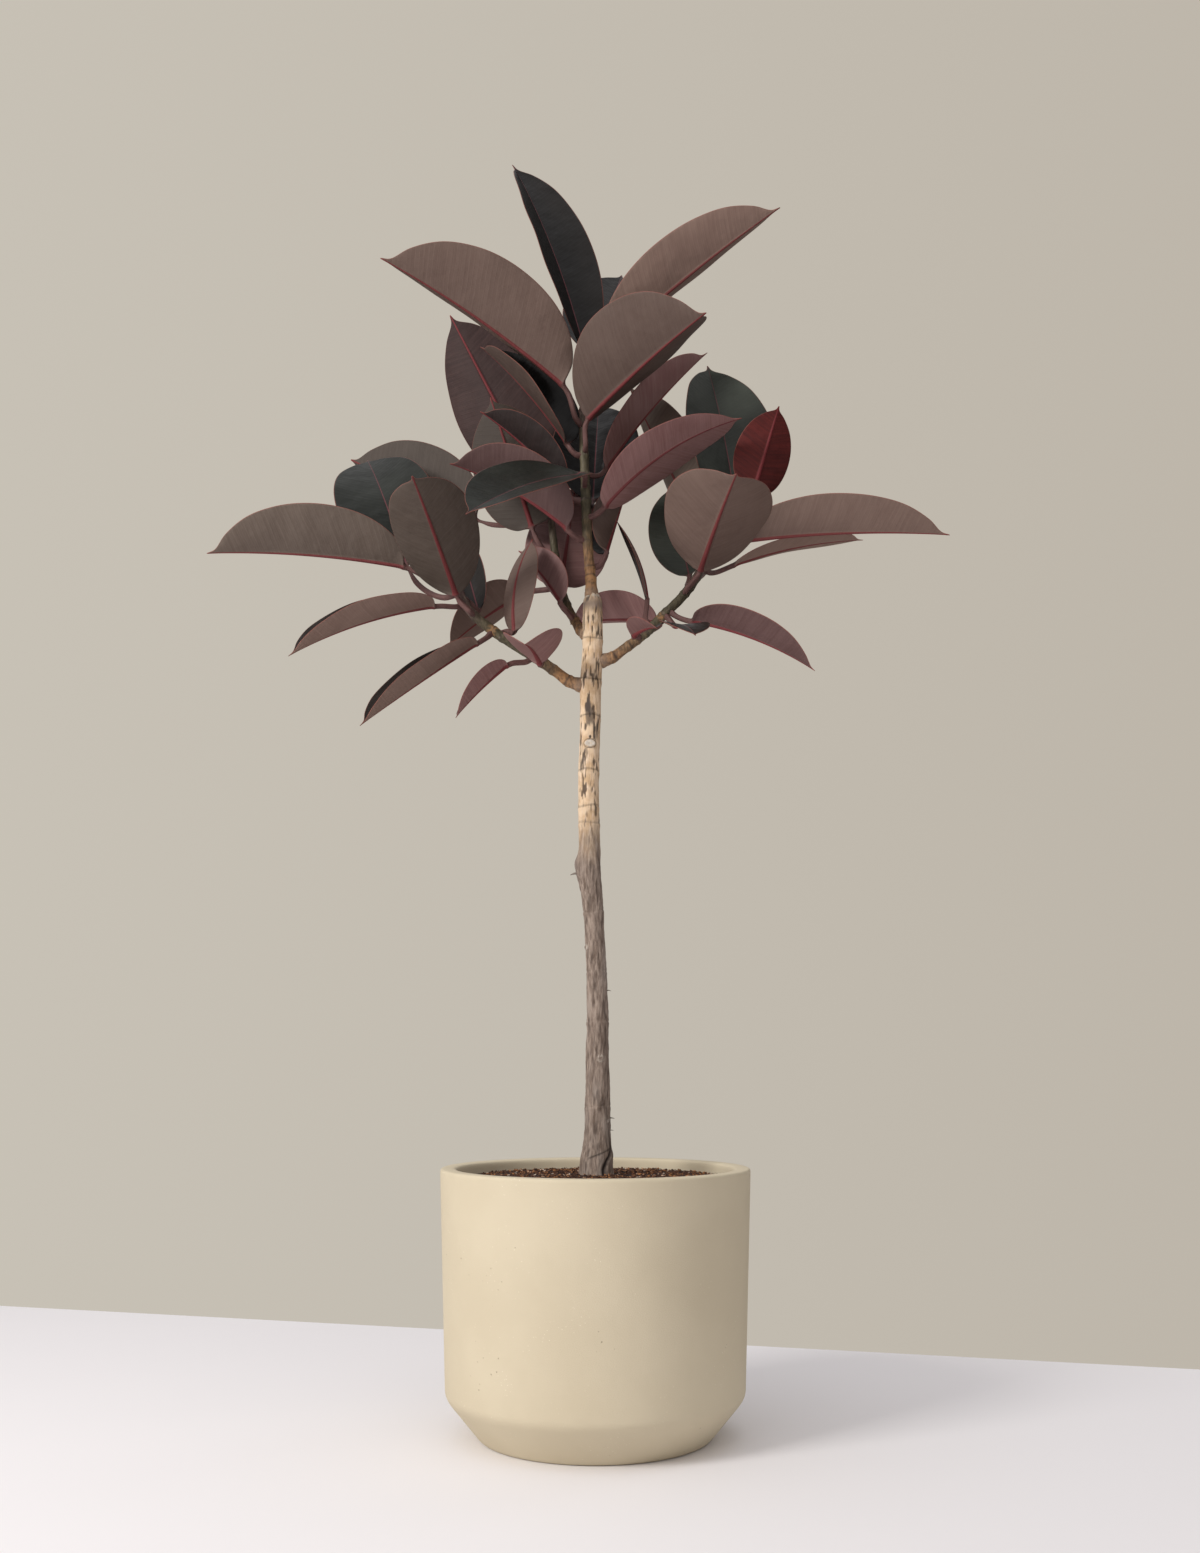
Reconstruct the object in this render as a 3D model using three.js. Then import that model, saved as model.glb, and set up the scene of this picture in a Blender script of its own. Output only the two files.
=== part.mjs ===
// A potted rubber plant (Ficus elastica, burgundy form) grown as a small standard tree: one clear
// trunk, a leader and three side branches, each leaf a petiole and a folded blade in one piece.
// Millimetres, +Z up, origin at the centre of the pot's flat foot. The plant's front faces -Y.
import * as THREE from "three";

const { Vector3, CatmullRomCurve3, CubicBezierCurve3, MathUtils } = THREE;

// ---- Driving dimensions ----

const POT_HEIGHT = 258;
const POT_RIM_RADIUS = 152.5;
const POT_SIDE_TAPER = 6.5; // the side's lean, rim radius to the top of the chamfer
const POT_CHAMFER_HEIGHT = 40;
const POT_CHAMFER_DEPTH = 32; // how far the chamfer runs in towards the foot
const POT_WALL = 16.5;
const POT_FLOOR = 18;
const POT_LIP_ROUND = 2.5;
const POT_WAIST_ROUND = 3; // eases the bend between the chamfer and the side
const POT_FOOT_ROUND = 3;
const POT_SIDES = 56;

const SOIL_BELOW_RIM = 11; // at the wall
const SOIL_MOUND = 4; // how much higher the soil lies at the trunk
const PLANTING_DEPTH = 60; // trunk foot below the soil surface

const CLEAR_STEM = 487; // bare trunk, from the soil up to the lowest branch
const TRUNK_ROOT_RADIUS = 16.5;
const TRUNK_RADIUS = 10.3;
const LEADER_RADIUS = 5;
const BRANCH_RADIUS = 5;
const COLLAR_SWELLING = 1.25; // at a branch's foot
const COLLAR_LENGTH = 5;
const TRUNK_SIDES = 12;
const TRUNK_RINGS = 27;
const BRANCH_SIDES = 10;
const BRANCH_RINGS = 13;

const CLEARANCE = 0.3; // between any two pieces that touch

const PETIOLE_RADIUS = 2.6;
const BLADE_THICKNESS = 1;
const MIDRIB_DEPTH = 1.6; // the ridge below the blade, at its foot
const DRIP_TIP = 0.06; // share of the blade's length that is the drawn-out tip
const DRIP_TIP_WIDTH = 0.1; // share of the blade's width
const TIP_RADIUS = 0.5;
const OUTLINE_FULLNESS = 0.55; // 0.5 is an ellipse, 1 a pair of parabolas
const OUTLINE_SKEW = 0.92; // below 1, the widest place lies towards the foot
const INNER_FOLD = 0.85; // share of the fold beside the midrib: each half curves up to its edge
const LEAF_SIDES = 8; // points of a ring, round the petiole as round the blade

const COLOURS = {
  pot: 0xd9cba6,
  soil: 0x3a241a,
  bark: 0x8a6f52,
  greenwood: 0x5b5140,
  leaf: 0x5f4a44,
  young_leaf: 0x6d1f20,
};
const ROUGHNESS = {
  pot: 0.85,
  soil: 1,
  bark: 0.9,
  greenwood: 0.7,
  leaf: 0.45,
  young_leaf: 0.3,
};

const INNER_BEND = POT_CHAMFER_HEIGHT + POT_FLOOR / 2; // where the pot's inside turns in to its floor
const SOIL_TOP = POT_HEIGHT - SOIL_BELOW_RIM + SOIL_MOUND; // where the trunk leaves the soil
const CROWN_BASE = SOIL_TOP + CLEAR_STEM; // height of the lowest branch

// ---- Closed surfaces made of rings ----

// Skins a run of rings of equal length, each end closed by a fan about its middle. Rings run
// anticlockwise as seen from the last ring, looking back at the first.
function skin(rings) {
  const count = rings[0].length;
  const points = rings.flat();
  const index = [];
  for (let ring = 0; ring + 1 < rings.length; ring++) {
    for (let side = 0; side < count; side++) {
      const a = ring * count + side;
      const b = ring * count + ((side + 1) % count);
      index.push(a, b, b + count, a, b + count, a + count);
    }
  }
  const last = (rings.length - 1) * count;
  const ends = [middle(rings[0]), middle(rings[rings.length - 1])];
  points.push(...ends);
  for (let side = 0; side < count; side++) {
    const next = (side + 1) % count;
    index.push(points.length - 2, next, side);
    index.push(points.length - 1, last + side, last + next);
  }
  const geometry = new THREE.BufferGeometry().setFromPoints(points);
  geometry.setIndex(index);
  geometry.computeVertexNormals();
  return geometry;
}

function middle(ring) {
  const sum = ring.reduce((total, point) => total.add(point), new Vector3());
  return sum.divideScalar(ring.length);
}

// A round ring about a centre, in the plane of two unit vectors.
function roundRing(centre, across, up, radius, sides) {
  return Array.from({ length: sides }, (_, side) => {
    const turn = (2 * Math.PI * side) / sides;
    return centre
      .clone()
      .addScaledVector(across, radius * Math.cos(turn))
      .addScaledVector(up, radius * Math.sin(turn));
  });
}

// ---- Pot and soil ----

const ARC_MIDDLE = 1 - Math.SQRT1_2; // how far in a quarter arc's middle lies, as a share of its radius

// The soil's mound: [share of the way in from the wall to the trunk, share of the mound's height].
const MOUND_SHAPE = [
  [0, 0],
  [0.24, 0.2],
  [0.56, 0.7],
  [1, 1],
];

function potProfile() {
  const footRadius = POT_RIM_RADIUS - POT_SIDE_TAPER - POT_CHAMFER_DEPTH;
  const waistRadius = POT_RIM_RADIUS - POT_SIDE_TAPER;
  const lip = POT_LIP_ROUND;
  const profile = [
    [0, 0],
    [footRadius - POT_FOOT_ROUND, 0],
    [footRadius, POT_FOOT_ROUND / 2],
    [waistRadius - POT_WAIST_ROUND, POT_CHAMFER_HEIGHT - POT_WAIST_ROUND],
    [waistRadius, POT_CHAMFER_HEIGHT + POT_WAIST_ROUND],
    [POT_RIM_RADIUS, POT_HEIGHT - lip],
    [POT_RIM_RADIUS - ARC_MIDDLE * lip, POT_HEIGHT - ARC_MIDDLE * lip],
    [POT_RIM_RADIUS - lip, POT_HEIGHT],
    [POT_RIM_RADIUS - POT_WALL + lip, POT_HEIGHT],
    [POT_RIM_RADIUS - POT_WALL, POT_HEIGHT - lip],
    [innerRadius(INNER_BEND), INNER_BEND],
    [innerFootRadius(), POT_FLOOR],
    [0, POT_FLOOR],
  ];
  return profile.map(([radius, z]) => new THREE.Vector2(radius, z));
}

// The pot's inside radius at a height on its straight side.
function innerRadius(z) {
  const share = (POT_HEIGHT - z) / (POT_HEIGHT - POT_CHAMFER_HEIGHT);
  return POT_RIM_RADIUS - POT_WALL - POT_SIDE_TAPER * share;
}

function innerFootRadius() {
  return innerRadius(POT_CHAMFER_HEIGHT) - POT_CHAMFER_DEPTH;
}

function pot() {
  return new THREE.LatheGeometry(potProfile(), POT_SIDES).rotateX(Math.PI / 2);
}

// One solid of potting mix with the pocket that the trunk's foot stands in.
function soil() {
  const wallTop = POT_HEIGHT - SOIL_BELOW_RIM;
  const pocket = TRUNK_ROOT_RADIUS + CLEARANCE / Math.cos(Math.PI / TRUNK_SIDES);
  const gap = CLEARANCE;
  const edge = innerRadius(wallTop) - gap;
  const profile = [
    [0, POT_FLOOR + gap],
    [innerFootRadius() - gap, POT_FLOOR + gap],
    [innerRadius(INNER_BEND) - gap, INNER_BEND],
    ...MOUND_SHAPE.map(([way, rise]) => [
      MathUtils.lerp(edge, pocket, way),
      wallTop + rise * SOIL_MOUND,
    ]),
    [pocket, SOIL_TOP - PLANTING_DEPTH - gap],
    [0, SOIL_TOP - PLANTING_DEPTH - gap],
  ];
  const outline = profile.map(([radius, z]) => new THREE.Vector2(radius, z));
  return new THREE.LatheGeometry(outline, POT_SIDES).rotateX(Math.PI / 2);
}

// ---- Woody stems ----

// A stem is a smooth curve through [x, y, z, radius] stations.
class Stem {
  constructor(stations, sides, rings) {
    this.curve = new CatmullRomCurve3(stations.map(([x, y, z]) => new Vector3(x, y, z)));
    this.radii = stations.map((station) => station[3]);
    this.sides = sides;
    this.rings = rings;
  }

  centre(share) {
    return this.curve.getPointAt(share);
  }

  along(share) {
    return this.curve.getTangentAt(share);
  }

  radius(share) {
    const place = this.curve.getUtoTmapping(share) * (this.radii.length - 1);
    const before = Math.min(Math.floor(place), this.radii.length - 2);
    return MathUtils.lerp(this.radii[before], this.radii[before + 1], place - before);
  }

  // The share of the stem's length that lies at a height, for a stem that only rises.
  shareAt(z) {
    let [low, high] = [0, 1];
    for (let halving = 0; halving < 24; halving++) {
      const mid = (low + high) / 2;
      if (this.centre(mid).z < z) low = mid;
      else high = mid;
    }
    return low;
  }

  geometry() {
    const rings = [];
    for (let step = 0; step <= this.rings; step++) {
      const share = step / this.rings;
      const along = this.along(share);
      const across = new Vector3(0, -1, 0).cross(along).normalize();
      const up = along.clone().cross(across);
      rings.push(roundRing(this.centre(share), across, up, this.radius(share), this.sides));
    }
    return skin(rings);
  }
}

// Bare trunk: [share of the clear stem, x, y, radius as a share of the trunk's].
const BARE_TRUNK = [
  [0.07, 2, 0, 1.28],
  [0.16, 2, 0, 1.18],
  [0.25, 2, -1, 1.09],
  [0.35, 2, 0, 1],
  [0.46, 0, 1, 0.95],
  [0.54, -2, 0, 0.97],
  [0.61, -6, -1, 1.12],
  [0.67, -6, 0, 1.03],
  [0.77, -7, 1, 1.02],
  [0.88, -6, 0, 0.99],
  [0.97, -5, 0, 1.03],
];
// Crown trunk: [height above the lowest branch, x, y, share of the radius], to the pruning cut.
const CUT_HEIGHT = 99;
const CROWN_TRUNK = [
  [12, -5, 0, 1.05],
  [40, -3, 0, 0.99],
  [70, -3, 0, 1],
  [86, -3, 0, 0.95],
  [CUT_HEIGHT, -3, 0, 0.88],
];

const trunk = new Stem(
  [
    [0, 0, SOIL_TOP - PLANTING_DEPTH, TRUNK_ROOT_RADIUS],
    [0, 0, SOIL_TOP - PLANTING_DEPTH / 2, TRUNK_ROOT_RADIUS],
    [0, 0, SOIL_TOP, TRUNK_ROOT_RADIUS],
    ...BARE_TRUNK.map(([share, x, y, r]) => [
      x,
      y,
      SOIL_TOP + share * CLEAR_STEM,
      r * TRUNK_RADIUS,
    ]),
    ...CROWN_TRUNK.map(([above, x, y, r]) => [x, y, CROWN_BASE + above, r * TRUNK_RADIUS]),
  ],
  TRUNK_SIDES,
  TRUNK_RINGS,
);

// Leader and branches: stations of [x, y, height above the lowest branch, share of the radius].
function crownStem(start, stations, radius) {
  const rest = stations.map(([x, y, above, r]) => [x, y, CROWN_BASE + above, r * radius]);
  return new Stem([...start, ...rest], BRANCH_SIDES, BRANCH_RINGS);
}

// A side branch leaves the trunk's bark square, on a heading, with a swollen collar.
function sideBranch(above, [x, y], stations) {
  const share = trunk.shareAt(CROWN_BASE + above);
  const centre = trunk.centre(share);
  const out = new Vector3(x, y, 0).normalize();
  const collar = [0, COLLAR_LENGTH].map((run) => {
    const point = centre.clone().addScaledVector(out, trunk.radius(share) + CLEARANCE + run);
    return [...point, COLLAR_SWELLING * BRANCH_RADIUS];
  });
  return crownStem(collar, stations, BRANCH_RADIUS);
}

const leader = crownStem(
  [
    [-4, 0, CROWN_BASE + CUT_HEIGHT + CLEARANCE, COLLAR_SWELLING * LEADER_RADIUS],
    [-4, 0, CROWN_BASE + CUT_HEIGHT + COLLAR_LENGTH, COLLAR_SWELLING * LEADER_RADIUS],
  ],
  [
    [-5, 0, 118, 1.05],
    [-8, 0, 150, 1],
    [-10, 0, 200, 0.96],
    [-12, 0, 250, 0.9],
    [-13, 2, 290, 0.8],
    [-12, 6, 334, 0.5],
  ],
  LEADER_RADIUS,
);

const left = sideBranch(
  5,
  [-1, 0],
  [
    [-33, -2, 13, 1.1],
    [-57, -6, 29, 1.05],
    [-84, -10, 45, 1],
    [-110, -14, 62, 1],
    [-128, -18, 78, 0.9],
    [-141, -20, 106, 0.56],
  ],
);

const right = sideBranch(
  30,
  [1, 0],
  [
    [24, -2, 38, 1],
    [48, -5, 55, 0.93],
    [68, -8, 74, 0.93],
    [90, -10, 96, 0.93],
    [105, -10, 118, 0.85],
    [114, -8, 146, 0.56],
  ],
);

const back = sideBranch(
  60,
  [-0.6, 0.8],
  [
    [-17, 20, 71, 1],
    [-27, 30, 90, 0.93],
    [-38, 40, 124, 0.88],
    [-45, 50, 175, 0.8],
    [-50, 58, 224, 0.56],
  ],
);

// ---- Leaves ----

// One leaf. at: share of its stem's length. stalk: from the stem's axis to the foot of the blade.
// blade: from there to the tip. faces: the way the upper side looks. fold: how far each half
// is folded up from flat, in degrees. arch: how far the midrib's middle rises towards the upper side.
const LEAVES = [
  // name, stem, at, stalk, blade, faces, width, fold, arch
  ["crown_upright", leader, 0.92, [0, -6, 44], [-78, 55, 234], [0.6, -1, 0.3], 82, 32, 10],
  ["crown_left", leader, 0.76, [-20, -20, 33], [-178, -70, 98], [0, 0.2, 1], 126, 42, 8],
  ["crown_right", leader, 0.95, [26, 8, 48], [175, -45, 124], [0, 0.2, 1], 92, 36, 5],
  ["front_right_broad", leader, 0.64, [4, -18, 26], [112, -130, 47], [0, 0.25, 1], 134, 44, 5],
  ["right_narrow", leader, 0.54, [21, 20, 12], [108, 12, 133], [0, 0.05, 1], 78, 28, 5],
  ["behind_top", leader, 0.84, [10, 34, 76], [32, 95, 138], [0, -1, 0.6], 95, 15, 0],
  ["back_left_tall", back, 1, [-14, 16, 24], [-97, 20, 196], [0.2, 1, 0.3], 106, 14, 0],
  ["left_strip", leader, 0.62, [-17, -4, 10], [-92, 22, 116], [0.75, -0.55, 0.35], 85, 35, 5],
  ["olive_left", back, 0.62, [-24, -9, 26], [-44, -8, 139], [0.2, 1, 0.2], 96, 14, 0],
  ["dark_brown", leader, 0.42, [-24, 3, 12], [-85, -4, 82], [0, 0.2, 1], 60, 36, 6],
  ["pink_left", leader, 0.24, [-20, -8, 8], [-120, -10, 66], [0, 0.2, 1], 95, 38, 8],
  ["green_front", leader, 0.48, [-4, -41, -3], [-106, -98, -77], [0, -0.75, 1], 94, 13, 8],
  ["back_centre", leader, 0.42, [7, 34, 12], [6, 90, 146], [0, -1, 0.4], 96, 14, 5],
  ["right_pink", leader, 0.34, [18, -14, 6], [135, -60, 68], [0, 0.1, 1], 82, 6, 15],
  ["back_right", right, 0.8, [16, 55, 46], [-84, 45, 202], [0.87, 0.5, 0.1], 86, 30, 0],
  ["stem_fold", leader, 0.12, [17, 4, 16], [22, 34, 82], [0, 0.4, 1], 60, 55, 0],
  ["purple_hanging", back, 0.3, [-6, 14, 22], [15, 35, 125], [0, 1, 0.2], 92, 14, 0],
  ["grey_mid", left, 0.56, [13, -2, 4], [18, 10, 100], [0.9, 0.8, 0.2], 52, 14, -10],
  ["red_mid", back, 0.17, [-14, -24, 10], [-44, 20, 62], [0.3, 0.5, 0.8], 54, 30, 4],
  ["heart_front", left, 0.27, [-2, -14, -6], [-12, -66, 2], [0, 0.2, 1], 70, 34, 4],
  ["small_lower_left", left, 0.34, [-24, -16, -14], [-48, -38, -62], [0, 0.4, 1], 42, 26, 2],
  ["lower_left_large", left, 0.62, [-14, -12, -16], [-110, -45, -94], [0, -0.1, 1], 66, 36, 1],
  ["left_long", left, 0.85, [-28, -16, -7], [-139, -35, -60], [0, -0.25, 1], 84, 30, 7],
  ["left_big", left, 0.96, [-52, -8, 18], [-195, -20, 8], [0, 0.2, 1], 106, 42, 6],
  ["left_green_round", left, 0.93, [-60, 42, 42], [-54, 75, 143], [0, -1, 0.4], 106, 14, 18],
  ["left_front_olive", left, 0.78, [-15, -14, 14], [-30, -120, 76], [-0.2, 0.5, 1], 98, 32, 5],
  ["left_back_brown", back, 0.85, [-81, 14, 5], [-144, 52, 88], [0, 1, 0.5], 106, 14, 0],
  ["left_green_narrow", left, 0.88, [14, 17, -6], [-26, 36, 92], [-0.3, -1, 0.2], 42, 20, 0],
  ["left_lower_brown", back, 0.42, [-40, 10, -6], [-75, -30, -66], [0, 0.5, 1], 70, 20, 4],
  ["right_front_broad", right, 0.67, [14, -12, 18], [26, -125, 52], [0.1, 0.5, 1], 118, 28, 5],
  ["right_green", right, 0.72, [0, 18, 17], [-20, 20, 102], [-0.4, -1, 0.2], 64, 20, 0],
  ["right_far", right, 0.9, [34, -6, 18], [210, -25, -1], [0, 0.2, 1], 84, 38, 6],
  ["right_back_low", right, 0.86, [34, 31, 12], [144, 43, 43], [0, 0.05, 1], 60, 10, 6],
  ["right_top_green", right, 0.96, [35, 28, 48], [-27, 40, 182], [0.3, -1, 0.2], 106, 22, 6],
  ["red_young", right, 1, [45, -18, 48], [26, -10, 88], [-0.2, 0.9, 0.2], 61, 16, 0],
  ["lower_right", right, 0.52, [22, -12, -15], [118, -40, -61], [0, 0.1, 1], 66, 34, 7],
  ["behind_trunk", right, 0.34, [12, 23, 15], [-92, 45, 12], [0, 0.4, 1], 66, 30, 5],
  ["edge_on", right, 0.37, [-4, 6, 30], [-32, 10, 88], [-1, 0.1, 0.3], 36, 12, -7],
  ["small_right_front", right, 0.27, [-6, -14, -2], [22, -50, -6], [0, 0.2, 1], 38, 30, 3],
  ["right_low_green", right, 0.48, [11, -14, -16], [14, -90, -35], [0, 0, 1], 48, 8, 5],
];

const PETIOLE_STEPS = 4;
const BLADE_STATIONS = [0.03, 0.1, 0.21, 0.35, 0.5, 0.65, 0.79, 0.9, 0.96];

// Half the blade's width at a share of its length, as a share of its greatest half width.
function bladeOutline(share) {
  const body = Math.min(share / (1 - DRIP_TIP), 1) ** OUTLINE_SKEW;
  const oval = (4 * body * (1 - body)) ** OUTLINE_FULLNESS;
  const drip = DRIP_TIP_WIDTH * Math.min(1, (1 - share) / DRIP_TIP);
  return Math.max(oval, share > 0.5 ? drip : 0);
}

// Unit vectors across a leaf and out of its upper side, where it runs along a direction.
function leafFrame(along, faces) {
  const up = faces.clone().addScaledVector(along, -faces.dot(along)).normalize();
  return { across: up.clone().cross(along), up };
}

// One ring of the blade: two sharp edges, and a top and a bottom with the midrib in the middle.
function bladeRing(centre, across, up, halfWidth, fold, share) {
  const place = (out, rise, thickness) =>
    centre
      .clone()
      .addScaledVector(across, out * halfWidth * Math.cos(rise))
      .addScaledVector(up, Math.abs(out) * halfWidth * Math.sin(rise) + thickness);
  const inner = INNER_FOLD * fold;
  const skinDepth = BLADE_THICKNESS / 2;
  const rib = -skinDepth - MIDRIB_DEPTH * (1 - share);
  return [
    place(1, fold, 0),
    place(0.5, inner, skinDepth),
    place(0, 0, skinDepth),
    place(-0.5, inner, skinDepth),
    place(-1, fold, 0),
    place(-0.5, inner, -skinDepth),
    place(0, 0, rib),
    place(0.5, inner, -skinDepth),
  ];
}

function leaf([, stem, at, stalkTo, bladeTo, facing, width, fold, arch]) {
  const axis = stem.centre(at);
  const along = stem.along(at);
  const foot = axis.clone().add(new Vector3(...stalkTo));
  const blade = new Vector3(...bladeTo);
  const faces = new Vector3(...facing);
  const out = new Vector3(...stalkTo);
  out.addScaledVector(along, -out.dot(along)).normalize();
  const start = axis.addScaledVector(out, stem.radius(at) + CLEARANCE);
  const { up } = leafFrame(blade.clone().normalize(), faces);

  const reach = start.distanceTo(foot) / 3;
  const midrib = new THREE.QuadraticBezierCurve3(
    foot,
    foot.clone().addScaledVector(blade, 0.5).addScaledVector(up, 2 * arch),
    foot.clone().add(blade),
  );
  const stalk = new CubicBezierCurve3(
    start,
    start.clone().addScaledVector(out, reach),
    foot.clone().addScaledVector(midrib.getTangent(0), -reach),
    foot,
  );

  const rings = [];
  for (let step = 0; step <= PETIOLE_STEPS; step++) {
    const share = step / PETIOLE_STEPS;
    const frame = leafFrame(stalk.getTangent(share), faces);
    const centre = stalk.getPoint(share);
    rings.push(roundRing(centre, frame.across, frame.up, PETIOLE_RADIUS, LEAF_SIDES));
  }
  for (const share of BLADE_STATIONS) {
    const frame = leafFrame(midrib.getTangent(share), faces);
    const half = (width / 2) * bladeOutline(share);
    const folded = MathUtils.degToRad(fold);
    rings.push(bladeRing(midrib.getPoint(share), frame.across, frame.up, half, folded, share));
  }
  const tip = leafFrame(midrib.getTangent(1), faces);
  rings.push(roundRing(midrib.getPoint(1), tip.across, tip.up, TIP_RADIUS, LEAF_SIDES));
  return skin(rings);
}

// ---- The plant ----

const plant = new THREE.Group();

function add(name, slot, geometry) {
  const material = new THREE.MeshStandardMaterial({
    color: COLOURS[slot],
    roughness: ROUGHNESS[slot],
    metalness: 0,
  });
  const mesh = new THREE.Mesh(geometry, material);
  mesh.name = name;
  plant.add(mesh);
}

add("pot", "pot", pot());
add("soil", "soil", soil());
add("trunk", "bark", trunk.geometry());
add("leader", "greenwood", leader.geometry());
add("branch_left", "greenwood", left.geometry());
add("branch_right", "greenwood", right.geometry());
add("branch_back", "greenwood", back.geometry());
for (const entry of LEAVES) {
  const slot = entry[0] === "red_young" ? "young_leaf" : "leaf";
  add("leaf_" + entry[0], slot, leaf(entry));
}

export default plant;
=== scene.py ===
"""Looks of the potted rubber plant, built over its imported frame: leaves, bark, soil and pot.

Metres, +Z up; the plant's front faces -Y. Every piece takes its place and size from its CAD node: a
lofted solid gives back its rings of points, a turned solid its profile, and the fine surfaces run
through them. The marks on the bark are placed by height and heading.
"""

import math
import random

import bmesh
import bpy
import numpy as np
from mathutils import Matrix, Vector, noise


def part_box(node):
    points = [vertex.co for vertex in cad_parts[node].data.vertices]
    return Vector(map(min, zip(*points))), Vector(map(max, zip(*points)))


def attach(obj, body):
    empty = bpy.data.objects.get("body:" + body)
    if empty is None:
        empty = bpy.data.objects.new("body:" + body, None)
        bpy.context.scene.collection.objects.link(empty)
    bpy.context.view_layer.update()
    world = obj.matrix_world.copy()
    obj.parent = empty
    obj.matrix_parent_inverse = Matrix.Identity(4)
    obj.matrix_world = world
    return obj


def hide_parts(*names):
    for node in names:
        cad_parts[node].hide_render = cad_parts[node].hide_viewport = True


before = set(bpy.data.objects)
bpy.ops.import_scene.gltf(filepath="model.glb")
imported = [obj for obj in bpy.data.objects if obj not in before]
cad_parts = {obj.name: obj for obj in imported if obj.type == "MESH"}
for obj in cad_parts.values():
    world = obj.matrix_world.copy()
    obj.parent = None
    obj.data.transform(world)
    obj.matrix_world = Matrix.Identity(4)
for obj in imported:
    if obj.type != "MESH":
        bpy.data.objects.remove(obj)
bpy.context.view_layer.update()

MM = 0.001
WELD = 0.02 * MM  # the CAD meshes repeat their points at sharp edges
RING_EDGES = 6  # the most edges at a ring's point; the middle of an end's fan has more

LEAF_NODES = [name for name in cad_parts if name.startswith("leaf_")]
STEM_NODES = ["leader", "branch_left", "branch_right", "branch_back"]


# ---- Reading shapes back from the CAD nodes ----


def welded(node):
    """The mesh of a CAD node, with each of its points there once."""
    found = bmesh.new()
    found.from_mesh(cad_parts[node].data)
    bmesh.ops.remove_doubles(found, verts=found.verts, dist=WELD)
    return found


def neighbours(vertex):
    return [edge.other_vert(vertex) for edge in vertex.link_edges]


def steps_from(start):
    """How many edges each point lies from a first one."""
    steps = {start: 0}
    front = [start]
    while front:
        ahead = [(v, w) for v in front for w in neighbours(v)]
        front = []
        for near, far in ahead:
            if far not in steps:
                steps[far] = steps[near] + 1
                front.append(far)
    return steps


def loft_rings(node):
    """The rings that a lofted solid is skinned over, in step, from its wider end: [ring, point, xyz]."""
    mesh = welded(node)
    hubs = [v for v in mesh.verts if len(v.link_edges) > RING_EDGES]
    start = max(hubs, key=lambda hub: (hub.co - neighbours(hub)[0].co).length)
    steps = steps_from(start)
    following, above = {}, {}
    for face in mesh.faces:
        corners = [loop.vert for loop in face.loops]
        for turn in range(3):
            a, b, c = corners[turn:] + corners[:turn]
            if steps[a] == steps[b] == steps[c] - 1 and c not in hubs:
                following[a] = b
                above[b] = c
    ring = [neighbours(start)[0]]
    while following[ring[-1]] is not ring[0]:
        ring.append(following[ring[-1]])
    rings = [ring]
    while ring[0] in above:
        ring = [above[v] for v in ring]
        rings.append(ring)
    found = np.array([[v.co[:] for v in ring] for ring in rings])
    mesh.free()
    return found


def turned_profile(node):
    """The [radius, height] corners of a turned solid, from the middle of its foot round to the axis."""
    mesh = welded(node)
    seam = {v for v in mesh.verts if abs(v.co.x) < WELD and v.co.y < WELD}
    place = min((v for v in seam if abs(v.co.y) < WELD), key=lambda v: v.co.z)
    walk = [place]
    while place:
        ahead = [v for v in neighbours(place) if v in seam and v not in walk]
        place = ahead[0] if ahead else None
        walk += ahead[:1]
    found = np.array([[-v.co.y, v.co.z] for v in walk])
    mesh.free()
    return found


# ---- Curves and surfaces ----

ROUNDED_POINTS = 7  # along each rounded corner
ROUNDED_SHARE = 0.45  # the most of a run that a rounding takes, so that two never meet


def unit(vectors):
    return vectors / np.maximum(np.linalg.norm(vectors, axis=-1, keepdims=True), 1e-12)


def smoothstep(low, high, value):
    share = np.clip((value - low) / (high - low), 0, 1)
    return share * share * (3 - 2 * share)


def headings(sides):
    """Even headings round a circle."""
    return 2 * np.pi * np.arange(sides) / sides


def hump(distance, width):
    """1 where the distance is 0, falling off smoothly on both sides."""
    return np.exp(-((distance / width) ** 2))


def run_along(points):
    """How far along the line through some points each of them lies."""
    gaps = np.linalg.norm(np.diff(points, axis=0), axis=1)
    return np.concatenate([[0], np.cumsum(gaps)])


def spline(points, parts):
    """Centripetal Catmull-Rom runs through points [place, ..., xyz], with parts[i] pieces in step i."""
    padded = np.concatenate([2 * points[:1] - points[1:2], points, 2 * points[-1:] - points[-2:-1]])
    made = []
    for step, count in enumerate(parts):
        p = padded[step : step + 4]
        knots = [np.zeros(p.shape[1:-1] + (1,))]
        for a, b in zip(p, p[1:]):
            gap = np.linalg.norm(b - a, axis=-1, keepdims=True)
            knots.append(knots[-1] + np.maximum(gap, 1e-7) ** 0.5)

        def between(i, j, a, b, t):
            return ((knots[j] - t) * a + (t - knots[i]) * b) / (knots[j] - knots[i])

        for part in range(count):
            t = knots[1] + (knots[2] - knots[1]) * part / count
            a = between(0, 1, p[0], p[1], t)
            b = between(1, 2, p[1], p[2], t)
            c = between(2, 3, p[2], p[3], t)
            made.append(between(1, 2, between(0, 2, a, b, t), between(1, 3, b, c, t), t))
    made.append(points[-1])
    return np.array(made)


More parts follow.
